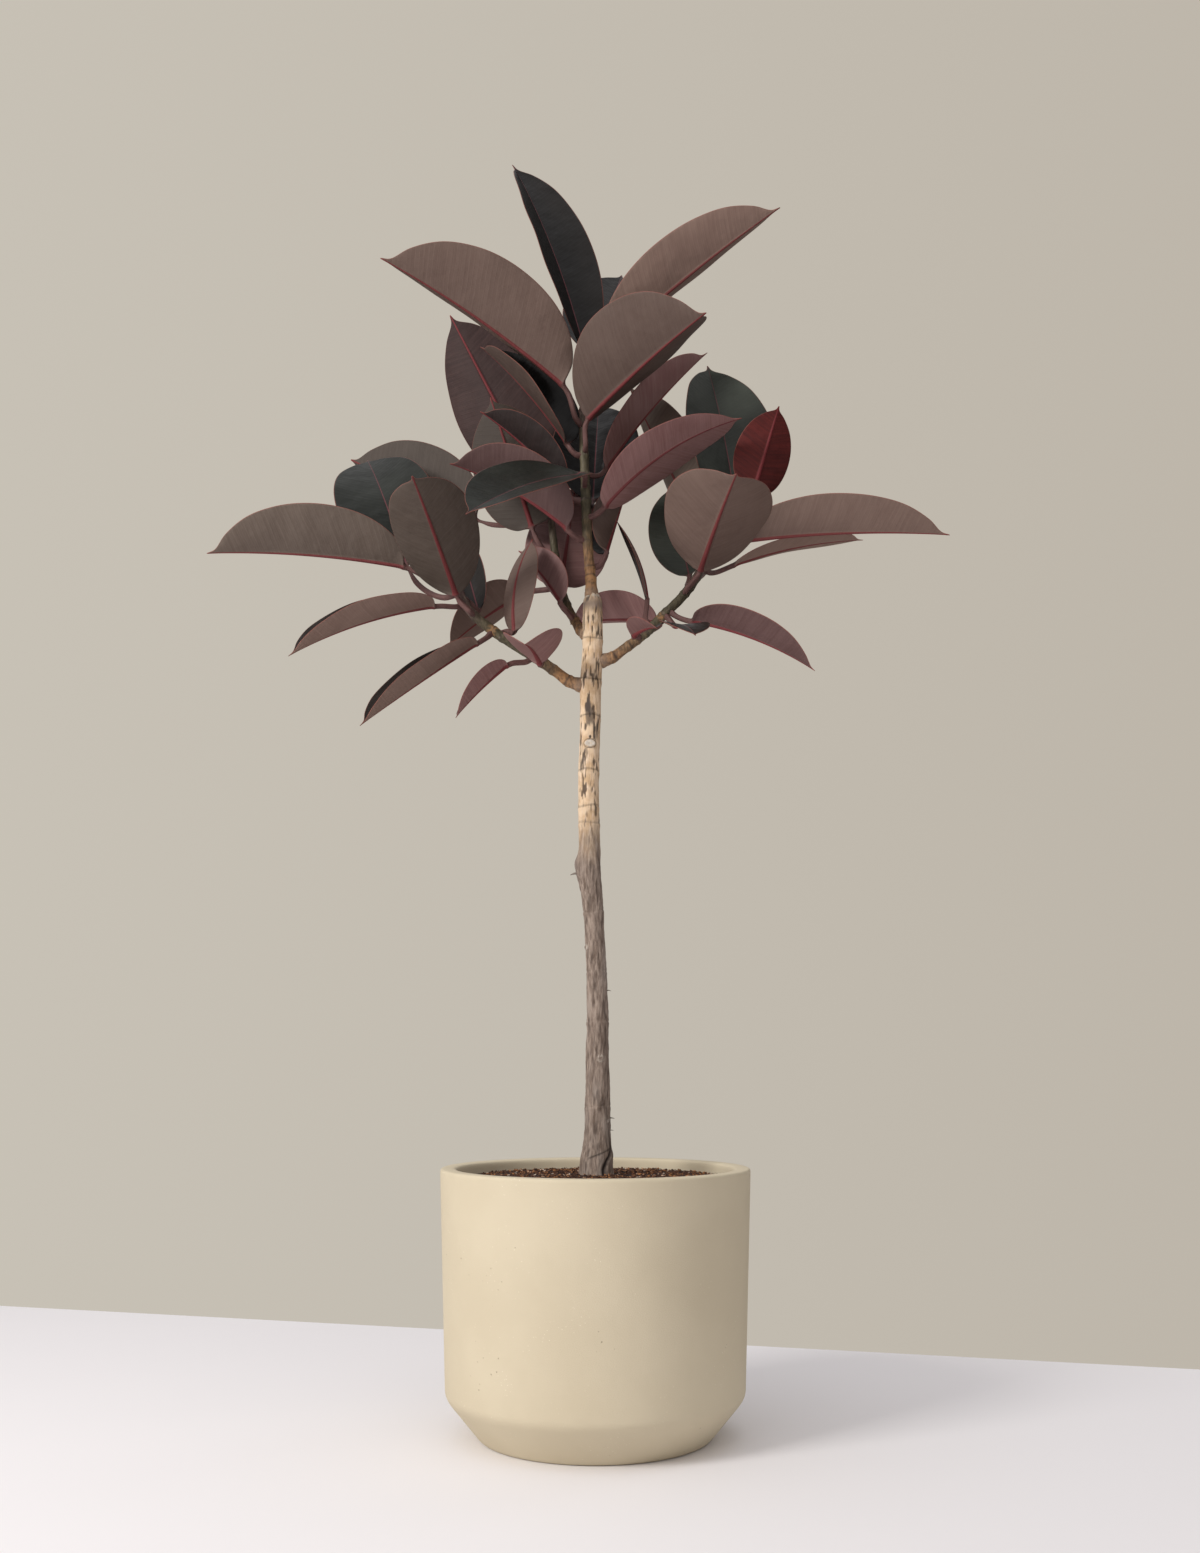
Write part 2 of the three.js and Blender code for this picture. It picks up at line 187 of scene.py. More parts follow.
def rounded(corners, reach):
    """A [radius, height] outline with each inner corner rounded over up to reach on both sides."""
    made = [corners[0]]
    for before, corner, after in zip(corners, corners[1:], corners[2:]):
        ends = []
        for other in (before, after):
            run = np.linalg.norm(other - corner)
            ends.append(corner + (other - corner) * min(reach / run, ROUNDED_SHARE))
        for share in np.linspace(0, 1, ROUNDED_POINTS):
            low = ends[0] + (corner - ends[0]) * share
            high = corner + (ends[1] - corner) * share
            made.append(low + (high - low) * share)
    made.append(corners[-1])
    return np.array(made)


def grid_faces(rows, columns):
    """Quads between rows of points that each close on themselves."""
    place = np.arange(rows * columns).reshape(rows, columns)
    ahead = np.roll(place, -1, axis=1)
    quads = np.stack([place[:-1], ahead[:-1], ahead[1:], place[1:]], axis=-1)
    return quads.reshape(-1, 4).tolist()


def skin(rings):
    """Points and faces of a closed surface through rings [ring, point, xyz]; the ends are fans."""
    rows, columns = rings.shape[:2]
    points = np.concatenate([rings.reshape(-1, 3), [rings[0].mean(0)], [rings[-1].mean(0)]])
    faces = grid_faces(rows, columns)
    last = (rows - 1) * columns
    for side in range(columns):
        ahead = (side + 1) % columns
        faces.append([rows * columns, ahead, side])
        faces.append([rows * columns + 1, last + side, last + ahead])
    return points, faces


def turned(outline, sides):
    """Points and faces of an outline turned about the Z axis; its ends lie on the axis."""
    turn = headings(sides)
    radius, height = outline[1:-1, 0, None], outline[1:-1, 1, None]
    rings = np.stack([radius * np.cos(turn), radius * np.sin(turn), height + 0 * turn], axis=-1)
    points, faces = skin(rings)
    points[-2:] = [[0, 0, outline[0, 1]], [0, 0, outline[-1, 1]]]
    return points, faces


def piece(name, points, faces, material, attributes=None, replaced=()):
    """A shown mesh of the object, in place of the CAD nodes that it stands for."""
    mesh = bpy.data.meshes.new(name)
    mesh.from_pydata(np.asarray(points).tolist(), [], faces)
    mesh.shade_smooth()
    for attribute, values in (attributes or {}).items():
        layer = mesh.attributes.new(attribute, "FLOAT", "POINT")
        layer.data.foreach_set("value", np.asarray(values, np.float32).ravel())
    mesh.materials.append(material)
    made = bpy.data.objects.new(name, mesh)
    bpy.context.scene.collection.objects.link(made)
    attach(made, "root")
    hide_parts(*replaced)
    return made


# ---- Materials ----


class Finish:
    """A material, with its node tree written as nested calls; its shader's plain settings come first."""

    def __init__(self, name, **settings):
        self.material = bpy.data.materials.new(name)
        self.material.use_nodes = True
        self.tree = self.material.node_tree
        self.shader = self.tree.nodes["Principled BSDF"]
        for socket, value in settings.items():
            self.shader.inputs[socket.replace("_", " ")].default_value = value

    def add(self, kind, inputs, output=0, **options):
        """A node with its inputs fed by number or name; gives back one of its outputs."""
        node = self.tree.nodes.new("ShaderNode" + kind)
        for option, value in options.items():
            setattr(node, option, value)
        for socket, value in inputs.items():
            self.feed(node.inputs[socket], value)
        return node.outputs[output]

    def feed(self, socket, value):
        if isinstance(value, bpy.types.NodeSocket):
            self.tree.links.new(value, socket)
        else:
            socket.default_value = value

    def shade(self, **sockets):
        for socket, value in sockets.items():
            self.feed(self.shader.inputs[socket.replace("_", " ")], value)
        return self.material

    def math(self, operation, *values):
        return self.add("Math", dict(enumerate(values)), operation=operation)

    def mix(self, share, first, second):
        """The first colour where the share is 0, the second where it is 1."""
        first, second = [(*c, 1) if isinstance(c, tuple) else c for c in (first, second)]
        return self.add("Mix", {0: share, 6: first, 7: second}, 2, data_type="RGBA")

    def band(self, value, low, high):
        """0 where the value is low, 1 where it is high, smoothly between."""
        inputs = {0: value, 1: low, 2: high, 3: 0.0, 4: 1.0}
        return self.add("MapRange", inputs, interpolation_type="SMOOTHSTEP")

    def place(self):
        return self.add("TexCoord", {}, "Object")

    def stretched(self, vector, *scale):
        return self.add("Mapping", {"Vector": vector, "Scale": scale})

    def noise(self, vector, scale, detail=3.0, roughness=0.5):
        inputs = {"Vector": vector, "Scale": scale, "Detail": detail, "Roughness": roughness}
        return self.add("TexNoise", inputs)

    def cells(self, vector, scale, output="Distance"):
        return self.add("TexVoronoi", {"Vector": vector, "Scale": scale}, output)

    def value_of(self, attribute):
        return self.add("Attribute", {}, "Fac", attribute_name=attribute)

    def bump(self, height, distance, before=None):
        inputs = {"Height": height, "Distance": distance}
        if before:
            inputs["Normal"] = before
        return self.add("Bump", inputs)


def pot_finish():
    """Matt cream mineral clay: faint clouds, pale grains and a few dark pin holes."""
    f = Finish("pot_clay", Roughness=0.78, Specular_IOR_Level=0.25)
    place = f.place()
    clouds = f.band(f.noise(place, 9.0, 4.0), 0.35, 0.7)
    colour = f.mix(clouds, (0.60, 0.525, 0.385), (0.64, 0.565, 0.42))
    grain = f.cells(place, 260.0)
    pale = f.math("MULTIPLY", f.band(grain, 0.16, 0.08), f.band(f.noise(place, 28.0), 0.52, 0.66))
    colour = f.mix(f.math("MULTIPLY", pale, 0.55), colour, (0.86, 0.80, 0.66))
    holes = f.cells(place, 120.0)
    dark = f.math("MULTIPLY", f.band(holes, 0.10, 0.05), f.band(f.noise(place, 14.0), 0.58, 0.68))
    colour = f.mix(f.math("MULTIPLY", dark, 0.6), colour, (0.20, 0.14, 0.08))
    tooth = f.bump(f.noise(place, 900.0, 4.0, 0.65), 0.00025)
    waves = f.bump(f.noise(place, 35.0, 2.0), 0.0006, tooth)
    pits = f.bump(f.math("SUBTRACT", 1.0, dark), 0.0005, waves)
    return f.shade(Base_Color=colour, Normal=pits)


def soil_finish():
    """Damp potting mix: nearly black crumbs with rust-brown fibre."""
    f = Finish("potting_mix", Roughness=0.9, Specular_IOR_Level=0.3)
    place = f.place()
    crumbs = f.add("TexVoronoi", {"Vector": place, "Scale": 330.0}, "Color")
    tone = f.add("SeparateColor", {"Color": crumbs})
    colour = f.mix(f.band(tone, 0.25, 0.95), (0.018, 0.010, 0.008), (0.11, 0.045, 0.022))
    fibre = f.noise(f.stretched(place, 1.0, 0.25, 1.0), 700.0, 3.0)
    colour = f.mix(f.band(fibre, 0.62, 0.72), colour, (0.28, 0.12, 0.05))
    lumps = f.bump(f.cells(place, 330.0), 0.0016)
    return f.shade(Base_Color=colour, Normal=f.bump(f.noise(place, 1200.0, 3.0), 0.0006, lumps))


def chip_finish():
    """Bark chips and coir, each one its own brown."""
    f = Finish("bark_chips", Roughness=0.85, Specular_IOR_Level=0.3)
    tone = f.value_of("tone")
    place = f.place()
    colour = f.mix(f.band(tone, 0.0, 0.55), (0.022, 0.011, 0.009), (0.12, 0.048, 0.024))
    colour = f.mix(f.band(tone, 0.55, 0.85), colour, (0.42, 0.19, 0.075))
    colour = f.mix(f.band(tone, 0.93, 1.0), colour, (0.62, 0.52, 0.42))
    grain = f.noise(f.stretched(place, 1.0, 1.0, 3.0), 500.0, 3.0)
    colour = f.mix(f.math("MULTIPLY", f.band(grain, 0.5, 0.75), 0.5), colour, (0.015, 0.008, 0.006))
    return f.shade(Base_Color=colour, Normal=f.bump(grain, 0.0004))


def bark_finish():
    """Trunk bark: grey-brown and cracked below, golden with dark slits above, scarred at its nodes."""
    f = Finish("trunk_bark", Roughness=0.82, Specular_IOR_Level=0.25)
    place = f.place()
    height = f.add("SeparateXYZ", {"Vector": place}, "Z")
    patches = f.noise(f.stretched(place, 1.0, 1.0, 0.35), 55.0, 4.0, 0.6)
    ragged = f.math("MULTIPLY_ADD", patches, 0.09, height)
    golden = f.band(ragged, 0.595, 0.665)

    streaks = f.noise(f.stretched(place, 1.0, 1.0, 0.16), 420.0, 4.0, 0.6)
    old = f.mix(f.band(streaks, 0.3, 0.7), (0.15, 0.108, 0.084), (0.37, 0.295, 0.245))
    old = f.mix(f.math("MULTIPLY", f.band(patches, 0.5, 0.7), 0.55), old, (0.38, 0.325, 0.285))
    rust = f.noise(place, 90.0, 3.0)
    young = f.mix(f.band(rust, 0.35, 0.65), (0.60, 0.415, 0.25), (0.77, 0.59, 0.41))
    young = f.mix(f.math("MULTIPLY", f.band(streaks, 0.52, 0.72), 0.6), young, (0.86, 0.70, 0.58))
    colour = f.mix(golden, old, young)

    slits = f.value_of("crack")
    colour = f.mix(f.math("MULTIPLY", slits, 0.85), colour, (0.035, 0.022, 0.018))
    smudge = f.noise(f.stretched(place, 1.0, 1.0, 0.3), 75.0, 3.0)
    smudge = f.math("MULTIPLY", f.band(smudge, 0.60, 0.68), golden)
    colour = f.mix(f.math("MULTIPLY", smudge, 0.75), colour, (0.085, 0.070, 0.062))
    colour = f.mix(f.value_of("grey"), colour, (0.20, 0.16, 0.145))
    colour = f.mix(f.value_of("pale"), colour, (0.66, 0.60, 0.52))
    colour = f.mix(f.value_of("dark"), colour, (0.018, 0.013, 0.012))
    rough = f.bump(f.noise(f.stretched(place, 1.0, 1.0, 0.4), 1100.0, 4.0, 0.7), 0.0005)
    return f.shade(Base_Color=colour, Normal=f.bump(streaks, 0.0008, rough))


def greenwood_finish():
    """Young wood: tan and fissured at the foot, then green-brown with ring scars, mauve at the tip."""
    f = Finish("young_wood", Roughness=0.62, Specular_IOR_Level=0.35)
    place = f.place()
    run = f.value_of("run")
    streaks = f.noise(f.stretched(place, 1.0, 1.0, 0.3), 380.0, 4.0, 0.6)
    woody = f.mix(f.band(streaks, 0.35, 0.68), (0.13, 0.075, 0.042), (0.36, 0.20, 0.095))
    green = f.mix(f.band(streaks, 0.35, 0.7), (0.062, 0.052, 0.030), (0.125, 0.105, 0.062))
    tip = f.mix(f.band(streaks, 0.4, 0.7), (0.085, 0.050, 0.045), (0.16, 0.105, 0.09))
    wavy = f.math("MULTIPLY_ADD", f.noise(place, 60.0), 0.25, run)
    colour = f.mix(f.band(wavy, 0.22, 0.50), woody, green)
    colour = f.mix(f.band(wavy, 0.75, 1.05), colour, tip)
    colour = f.mix(f.math("MULTIPLY", f.value_of("tan"), 0.8), colour, (0.46, 0.24, 0.10))
    colour = f.mix(f.value_of("pale"), colour, (0.42, 0.33, 0.26))
    colour = f.mix(f.value_of("dark"), colour, (0.040, 0.026, 0.022))
    return f.shade(Base_Color=colour, Normal=f.bump(streaks, 0.0005))


# Each leaf finish: the darker and the paler colour of its under side, and that of its upper side.
LEAF_TONES = {
    "mauve": ((0.150, 0.098, 0.080), (0.172, 0.116, 0.095), (0.011, 0.009, 0.008)),
    "olive": ((0.100, 0.074, 0.059), (0.120, 0.092, 0.075), (0.011, 0.011, 0.009)),
    "pink": ((0.135, 0.070, 0.066), (0.170, 0.095, 0.090), (0.012, 0.010, 0.009)),
    "wine": ((0.052, 0.022, 0.020), (0.080, 0.038, 0.034), (0.011, 0.009, 0.008)),
    "green": ((0.100, 0.074, 0.059), (0.120, 0.092, 0.075), (0.014, 0.016, 0.013)),
    "red": ((0.090, 0.009, 0.008), (0.150, 0.016, 0.013), (0.040, 0.005, 0.005)),
}
# The tone of each leaf, and how light it is against that tone: 1 is as the tone. The lightness is partly
# the leaf's own shade and partly painted light: leaves that lie in shade are painted lighter, and some
# well-lit ones darker.
LEAF_LOOKS = {
    "crown_upright": ("mauve", 0.6),
    "crown_left": ("mauve", 0.9),
    "crown_right": ("mauve", 1.5),
    "front_right_broad": ("mauve", 0.65),
    "right_narrow": ("pink", 1.8),
    "behind_top": ("mauve", 0.5),
    "back_left_tall": ("wine", 0.55),
    "left_strip": ("mauve", 0.5),
    "olive_left": ("olive", 0.5),
    "dark_brown": ("wine", 0.25),
    "pink_left": ("pink", 0.6),
    "green_front": ("green", 0.8),
    "back_centre": ("mauve", 0.4),
    "right_pink": ("pink", 2.1),
    "back_right": ("olive", 1.5),
    "stem_fold": ("mauve", 0.7),
    "purple_hanging": ("pink", 1.6),
    "grey_mid": ("mauve", 0.8),
    "red_mid": ("pink", 1.3),
    "heart_front": ("pink", 1.7),
    "small_lower_left": ("pink", 1.8),
    "lower_left_large": ("mauve", 1.4),
    "left_long": ("mauve", 1.5),
    "left_big": ("olive", 1.15),
    "left_green_round": ("green", 0.7),
    "left_front_olive": ("olive", 0.85),
    "left_back_brown": ("olive", 0.55),
    "left_green_narrow": ("mauve", 0.9),
    "left_lower_brown": ("mauve", 1.0),
    "right_front_broad": ("mauve", 0.95),
    "right_green": ("green", 2.5),
    "right_far": ("mauve", 1.1),
    "right_back_low": ("mauve", 1.6),
    "right_top_green": ("green", 2.0),
    "red_young": ("red", 0.7),
    "lower_right": ("pink", 0.72),
    "behind_trunk": ("pink", 1.8),
    "edge_on": ("mauve", 1.1),
    "small_right_front": ("pink", 1.2),
    "right_low_green": ("mauve", 1.5),
}


def leaf_finish(tone):
    """A leaf: matt veined under side, glossy dark upper side, red midrib and a thin pink margin."""
    under_dark, under_pale, upper = LEAF_TONES[tone]
    f = Finish("leaf_" + tone)
    place = f.place()
    across, along = f.value_of("across"), f.value_of("along")
    out = f.math("ABSOLUTE", across)
    top = f.band(f.value_of("upper"), -0.1, 0.1)

    # Side veins run straight from the midrib to the margin, leaning towards the tip.
    drift = f.math("MULTIPLY_ADD", f.noise(place, 22.0, 2.0), 6.0, along)
    veins = f.math("MULTIPLY_ADD", out, -0.38, drift)
    over_veins = f.math("MULTIPLY", veins, 0.34)
    with_veins = f.math("MULTIPLY", across, 0.018)
    fine = f.noise(f.add("CombineXYZ", {0: over_veins, 1: with_veins}), 1.0, 4.0, 0.62)
    ridge = f.math("SINE", f.math("MULTIPLY", veins, 1.35))
    ridge = f.band(ridge, 0.55, 1.0)

    blotch = f.noise(place, 17.0, 3.0)
    cloudy = f.math("MULTIPLY_ADD", fine, 0.6, f.math("MULTIPLY", blotch, 0.4))
    under = f.mix(f.band(cloudy, 0.38, 0.62), under_dark, under_pale)
    lit = tuple(1.2 * c for c in under_pale)
    under = f.mix(f.math("MULTIPLY", ridge, 0.12), under, lit)
    bright = tuple(1.9 * c for c in upper)
    above = f.mix(f.band(blotch, 0.35, 0.75), upper, bright)
    above = f.mix(f.math("MULTIPLY", ridge, 0.10), above, tuple(2.6 * c for c in upper))
    blade = f.mix(top, under, above)
    # Each leaf's colour, on both sides, is scaled by its lightness: partly the leaf's own shade, partly
    # painted light and shade.
    colour = f.add("VectorMath", {0: blade, "Scale": f.value_of("lightness_and_painted_light")}, operation="SCALE")

    rib = f.value_of("rib")
    below_rib = f.math("MULTIPLY", f.band(rib, 1.35, 0.85), f.math("SUBTRACT", 1.0, top))
    colour = f.mix(f.math("MULTIPLY", below_rib, 0.85), colour, (0.165, 0.022, 0.026))
    above_rib = f.math("MULTIPLY", f.band(rib, 0.55, 0.25), top)
    colour = f.mix(f.math("MULTIPLY", above_rib, 0.7), colour, (0.17, 0.045, 0.055))
    edge = f.band(f.value_of("margin"), 0.85, 0.25)
    colour = f.mix(f.math("MULTIPLY", edge, 0.65), colour, (0.27, 0.085, 0.062))
    stalk = f.value_of("stalk")
    flecks = f.noise(f.stretched(place, 1.0, 1.0, 0.5), 240.0)
    petiole = f.mix(flecks, (0.085, 0.045, 0.042), (0.20, 0.10, 0.09))
    colour = f.mix(stalk, colour, petiole)

    gloss = f.math("MULTIPLY_ADD", top, -0.30, 0.66)
    relief = f.math("ADD", f.math("MULTIPLY", ridge, 0.5), fine)
    normal = f.bump(relief, 0.00009)
    normal = f.bump(f.noise(place, 45.0, 2.0), 0.0018, normal)
    shine = f.math("MULTIPLY_ADD", top, -0.10, 0.30)
    return f.shade(Base_Color=colour, Roughness=gloss, Specular_IOR_Level=shine, Normal=normal)


# ---- Pot and soil ----

POT_SIDES = 180
POT_ROUNDING = 4.5 * MM
SOIL_STEP = 1.6 * MM  # across the open top of the mix
SOIL_CRUST = 6 * MM  # the open top lies within this of its highest point
LUMPS_FROM = 20 * MM  # from the axis, so that they stay clear of the trunk
LUMPS_WALL_GAP = 2 * MM
LUMP_HEIGHT = 1.3 * MM
CRUMB_HEIGHT = 0.9 * MM


def make_pot():
    """The pot, with its corners rounded."""
    outline = rounded(turned_profile("pot"), POT_ROUNDING)
    points, faces = turned(outline, POT_SIDES)
    piece("pot_body", points, faces, pot_finish(), replaced=["pot"])


def soil_surface():
    """The soil's CAD outline, with its open top broken into fine steps for lumps and hollows."""
    outline = turned_profile("soil")
    rim = int(np.argmax(outline[:, 0] + outline[:, 1]))
    crown = int(np.argmax(outline[:, 1] - 1e-3 * outline[:, 0]))  # the innermost of the highest
    top = []
    for a, b in zip(outline[rim:crown], outline[rim + 1 : crown + 1]):
        count = max(1, round(np.linalg.norm(b - a) / SOIL_STEP))
        top += [a + (b - a) * share for share in np.arange(count) / count]
    return np.concatenate([outline[:rim], top, outline[crown:]])


def lumps(x, y):
    """Height of the mix's lumps and hollows at a place."""
    coarse = noise.noise(Vector((x, y, 0.0)) * 70)
    crumbs = noise.noise(Vector((x, y, 0.3)) * 240)
    return LUMP_HEIGHT * coarse + CRUMB_HEIGHT * crumbs


def make_soil():
    """The potting mix, with lumps and loose chips on its open top."""
    outline = soil_surface()
    points, faces = turned(outline, POT_SIDES)
    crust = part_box("soil")[1].z - SOIL_CRUST
    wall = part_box("soil")[1].x
    for point in points:
        radius = math.hypot(point[0], point[1])
        if point[2] > crust and LUMPS_FROM < radius < wall - LUMPS_WALL_GAP:
            point[2] += lumps(point[0], point[1])
    piece("potting_soil", points, faces, soil_finish(), replaced=["soil"])
    make_chips(outline, wall)


CHIP_COUNT = 2600
CHIP_SEED = 7
CHIPS_FROM = 19 * MM
CHIPS_WALL_GAP = 3 * MM
FIBRE_SHARE = 0.3
CHIP_CORNERS = [(x, y, z) for z in (-1, 1) for y in (-1, 1) for x in (-1, 1)]
CHIP_FACES = [[0, 2, 3, 1], [4, 5, 7, 6], [0, 1, 5, 4], [2, 6, 7, 3], [0, 4, 6, 2], [1, 3, 7, 5]]


def make_chips(outline, wall):
    """Loose bark chips and coir fibres, each a small crooked block lying on the mix."""
    draw = random.Random(CHIP_SEED)
    top = outline[outline[:, 1] > outline[:, 1].max() - SOIL_CRUST]
    top = top[np.argsort(top[:, 0])]
    points, faces, tones = [], [], []
    for _ in range(CHIP_COUNT):
        radius = math.sqrt(draw.uniform(CHIPS_FROM**2, (wall - CHIPS_WALL_GAP) ** 2))
        turn = draw.uniform(0, 2 * math.pi)
        centre = Vector((radius * math.cos(turn), radius * math.sin(turn), 0))
        centre.z = float(np.interp(radius, top[:, 0], top[:, 1])) + lumps(centre.x, centre.y)
        centre.z += draw.uniform(0.0, 1.2) * MM
        fibre = draw.random() < FIBRE_SHARE
        long = draw.uniform(3.0, 6.0) if fibre else draw.uniform(1.2, 3.4)
        wide = draw.uniform(0.25, 0.45) if fibre else draw.uniform(0.8, 2.0)
        thick = draw.uniform(0.2, 0.4) if fibre else draw.uniform(0.4, 1.2)
        up = Vector((draw.gauss(0, 0.35), draw.gauss(0, 0.35), 1)).normalized()
        tilt = Vector((0, 0, 1)).rotation_difference(up)
        spin = draw.uniform(0, 2 * math.pi)
        tone = draw.random()
        first = len(points)
        for x, y, z in CHIP_CORNERS:
            x = x * long * draw.uniform(0.7, 1.1) / 2
            y = y * wide * draw.uniform(0.6, 1.2) / 2
            z = z * thick * draw.uniform(0.6, 1.2) / 2
            spun_x = x * math.cos(spin) - y * math.sin(spin)
            spun_y = x * math.sin(spin) + y * math.cos(spin)
            points.append(centre + tilt @ Vector((spun_x, spun_y, z)) * MM)
            tones.append(tone)
        faces += [[first + corner for corner in face] for face in CHIP_FACES]
    made = piece("bark_chips", [p[:] for p in points], faces, chip_finish(), {"tone": tones})
    made.data.shade_flat()


# ---- Stems ----


class Stem:
    """A round stem read back from its CAD solid, as an even run of centres and radii."""

    def __init__(self, node, step):
        rings = loft_rings(node)
        centres = rings.mean(1)
        radii = np.linalg.norm(rings - centres[:, None], axis=-1).mean(1)
        run = np.linalg.norm(np.diff(centres, axis=0), axis=1)
        parts = [max(1, round(length / step)) for length in run]
        self.centres = spline(centres, parts)
        self.radii = spline(np.repeat(radii[:, None], 3, axis=1), parts)[:, 0]
        self.along = unit(np.gradient(self.centres, axis=0))
        across = unit(np.cross(np.array([0.0, -1.0, 0.0]), self.along))
        self.frames = across, np.cross(self.along, across)
        self.length = run_along(self.centres)

    def rings(self, radii, sides):
        """Rings of points at radii [ring, side] about the stem's centres."""
        turn = headings(sides)
        across, up = self.frames
        out = across[:, None] * np.cos(turn)[:, None] + up[:, None] * np.sin(turn)[:, None]
        return self.centres[:, None] + out * radii[..., None]

    def nearest(self, point):
        """Index of the centre nearest to a point."""
        return int(np.argmin(np.linalg.norm(self.centres - point, axis=1)))


def fractal(points, scale, octaves=3):
    """Fractal noise at points [..., xyz], scaled by (x, y, z) counts in a metre."""
    flat = (points * scale).reshape(-1, 3)
    values = [noise.fractal(Vector(p), 0.9, 2.1, octaves) for p in flat.tolist()]
    return np.array(values).reshape(points.shape[:-1])


TRUNK_SIDES = 80
TRUNK_STEP = 1.2 * MM
YOUNG_BARK = (0.56, 0.63)  # the heights between which old bark gives way to young
BURIED = (0.236, 0.248)  # the heights between which the bark's relief starts, at the soil
# Marks on the trunk: height, heading (degrees from the right, anticlockwise from above) and size in
# mm where it varies. A ring scar has its height alone.
NODE_RINGS = [0.318, 0.402, 0.452, 0.512, 0.601, 0.618, 0.655, 0.710, 0.748, 0.790]
PRUNED_BRANCH = (0.681, 272)  # the oval cut with a bud above it
OLD_SCARS = [(0.365, 285, 4.5), (0.476, 200, 3.5), (0.303, 330, 3.0)]
KNOB = (0.556, 183)
BARK_FLAP = (0.268, 318)
STUBS = [(0.548, 184, 8.0), (0.430, 2, 3.5), (0.303, 356, 4.0), (0.292, 352, 3.0)]
STUB_MARKS = {"crack": 0.3, "pale": 0.15, "dark": 0.1, "grey": 0.6}
TWIG_SIDES = 8
TWIG_RINGS = 7


def make_trunk():
    """The trunk's bark, its marks, its cut top and the dead twigs that it carries."""
    stem = Stem("trunk", TRUNK_STEP)
    z = stem.centres[:, 2, None]
    bare = stem.rings(np.repeat(stem.radii[:, None], TRUNK_SIDES, axis=1), TRUNK_SIDES)
    out = bare - stem.centres[:, None]
    heading = np.arctan2(out[..., 1], out[..., 0])
    radius = stem.radii[:, None]
    golden = smoothstep(*YOUNG_BARK, z)

    # Bark: plates and grain drawn out along the trunk, cracked when old and slit when young.
    plates = fractal(bare, (170, 170, 34))
    grain = fractal(bare, (420, 420, 90))
    crack = smoothstep(0.32, 0.62, np.abs(fractal(bare, (260, 260, 42), 2)))
    slit = smoothstep(0.22, 0.42, fractal(bare, (330, 330, 62), 2))
    relief = (0.75 - 0.35 * golden) * plates + (0.4 - 0.15 * golden) * grain
    cracks = (1 - golden) * crack * 0.55 + golden * slit
    relief -= 0.45 * cracks

    # A dark ring and a slight swelling at each node.
    rings = sum(hump(z - h - 0.8 * MM * np.sin(heading * 2 + 900 * h), 0.9 * MM) for h in NODE_RINGS)
    swell = sum(hump(z - h + 1.5 * MM, 3.5 * MM) for h in NODE_RINGS)
    relief += 0.5 * swell - 0.55 * rings
    pale, dark, grey = 0 * relief, 0.55 * rings * golden, 0 * relief

    def spot(height, bearing):
        """How far each point lies along the bark from a mark: sideways and up."""
        gap = (heading - math.radians(bearing) + np.pi) % (2 * np.pi) - np.pi
        return gap * radius, z - height

    # The pruned branch: an oval cut in a raised lip, with a bud above it.
    side, up = spot(*PRUNED_BRANCH)
    oval = np.hypot(side / 5.2, up / 3.6) / MM
    relief += 1.5 * smoothstep(1.35, 0.95, oval) - 0.7 * smoothstep(0.8, 0.5, oval)
    pale = np.maximum(pale, smoothstep(1.0, 0.85, oval) * (1 - 0.35 * smoothstep(0.5, 0.3, oval)))
    dark = np.maximum(dark, 0.8 * hump(oval - 1.22, 0.14))
    bud = np.hypot(side / 1.5, (up - 6.5 * MM) / 2.2) / MM
    dark = np.maximum(dark, smoothstep(1.1, 0.5, bud))

    # Round scars, and the knob.
    for height, bearing, size in OLD_SCARS:
        side, up = spot(height, bearing)
        away = np.hypot(side, up * 1.2) / (size * MM)
        relief += 1.2 * smoothstep(1.1, 0.5, away) - 0.9 * smoothstep(0.5, 0.1, away)
        pale = np.maximum(pale, 0.6 * hump(away - 0.75, 0.22) * smoothstep(-0.2, 0.5, grain + 0.2))
    side, up = spot(*KNOB)
    knob = np.exp(-((side / (9 * MM)) ** 2) - ((up - 2 * MM) / (11 * MM)) ** 2)
    relief += 3.2 * knob * (1 + 0.5 * plates)
    grey = np.maximum(grey, 0.5 * knob)

    # The foot: a flap of bark lifted off a dark crack on the right.
    side, up = spot(*BARK_FLAP)
    seam = side - 3 * MM * np.sin(up * 160) - 0.25 * up
    foot = smoothstep(0.293, 0.272, z) * smoothstep(14 * MM, 8 * MM, np.abs(side))
    dark = np.maximum(dark, foot * hump(seam, 2.2 * MM))
    relief += foot * (1.4 * smoothstep(0, 4 * MM, seam) - 1.3 * hump(seam, 1.6 * MM))
    slant = up - 8 * MM - 0.45 * side
    across = smoothstep(20 * MM, 10 * MM, np.abs(side + 6 * MM))
    dark = np.maximum(dark, 0.8 * hump(slant, 0.9 * MM) * across)
    relief += 1.1 * smoothstep(0.285, 0.252, z) * (0.5 + plates)

    # The pruned top: a rounded shoulder with a pale callus about the leader.
    down = stem.centres[-1, 2] - z
    shoulder = 1 - 0.26 * smoothstep(7 * MM, 0, down)
    callus = 0.85 * hump(down - 2.4 * MM, 1.6 * MM)
    pale = np.maximum(pale, callus * smoothstep(-0.3, 0.2, plates + 0.25))
    grey = np.maximum(grey, 0.75 * hump(down - 12 * MM, 6 * MM))

    in_the_open = smoothstep(*BURIED, z)
    below_top = smoothstep(0, 1.5 * MM, down)
    radii = radius * shoulder + relief * MM * in_the_open * below_top
    points, faces = skin(stem.rings(radii, TRUNK_SIDES))

    def per_point(values):
        full = np.broadcast_to(values, radii.shape).ravel()
        return np.concatenate([full, [0, 0]])

